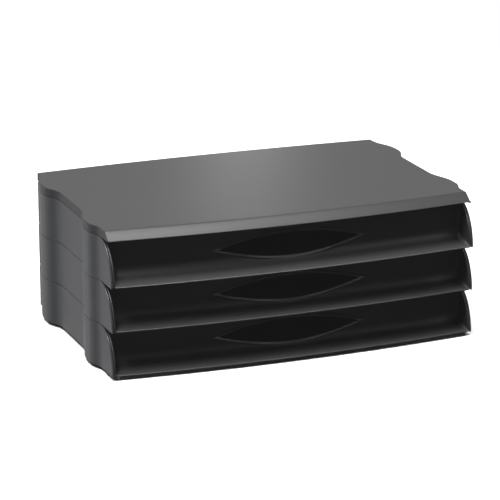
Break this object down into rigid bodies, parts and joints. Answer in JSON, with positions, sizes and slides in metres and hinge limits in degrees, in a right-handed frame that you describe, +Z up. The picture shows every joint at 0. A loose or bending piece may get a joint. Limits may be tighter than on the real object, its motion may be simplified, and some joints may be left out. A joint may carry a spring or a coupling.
{
  "type": "letter tray stack with drawers",
  "caption": "Desk stack of pull-out letter drawers in a serpentine-sided casing with a flat lid, for storing paper flat.",
  "frame": {"origin": "middle of the stack's bounding box, on the surface it stands on", "axes": "+X to the right seen from the front, +Y to the back, +Z up; drawers pull out towards -Y"},
  "size_m": [0.3868, 0.258, 0.1432],
  "materials": {
    "casing_plastic": "satin moulded, charcoal",
    "drawer_front_plastic": "satin moulded, charcoal",
    "drawer_tray_plastic": "satin moulded, charcoal",
    "lid_plastic": "fine-grained satin, charcoal",
    "base_plastic": "satin moulded, charcoal",
    "pin_plastic": "plain moulded",
    "foot_rubber": "matt"
  },
  "bodies": {
    "casing": {"base_plate": "base_plastic", "foot_front_left": "foot_rubber", "foot_rear_left": "foot_rubber", "foot_front_right": "foot_rubber", "foot_rear_right": "foot_rubber", "left_side_bottom": "casing_plastic", "right_side_bottom": "casing_plastic", "shelf_bottom": "casing_plastic", "back_panel_bottom": "casing_plastic", "stacking_pins_bottom": "pin_plastic", "left_side_middle": "casing_plastic", "right_side_middle": "casing_plastic", "shelf_middle": "casing_plastic", "back_panel_middle": "casing_plastic", "stacking_pins_middle": "pin_plastic", "left_side_top": "casing_plastic", "right_side_top": "casing_plastic", "shelf_top": "casing_plastic", "back_panel_top": "casing_plastic", "stacking_pins_top": "pin_plastic", "lid": "lid_plastic"},
    "drawer_bottom": {"drawer_tray_bottom": "drawer_tray_plastic", "drawer_front_bottom": "drawer_front_plastic"},
    "drawer_middle": {"drawer_tray_middle": "drawer_tray_plastic", "drawer_front_middle": "drawer_front_plastic"},
    "drawer_top": {"drawer_tray_top": "drawer_tray_plastic", "drawer_front_top": "drawer_front_plastic"}
  },
  "joints": [
    {"name": "drawer_bottom_slide", "type": "slide", "parent": "casing", "child": "drawer_bottom", "axis": [0, -1, 0], "range_m": [0, 0.15]},
    {"name": "drawer_middle_slide", "type": "slide", "parent": "casing", "child": "drawer_middle", "axis": [0, -1, 0], "range_m": [0, 0.15]},
    {"name": "drawer_top_slide", "type": "slide", "parent": "casing", "child": "drawer_top", "axis": [0, -1, 0], "range_m": [0, 0.15]}
  ]
}
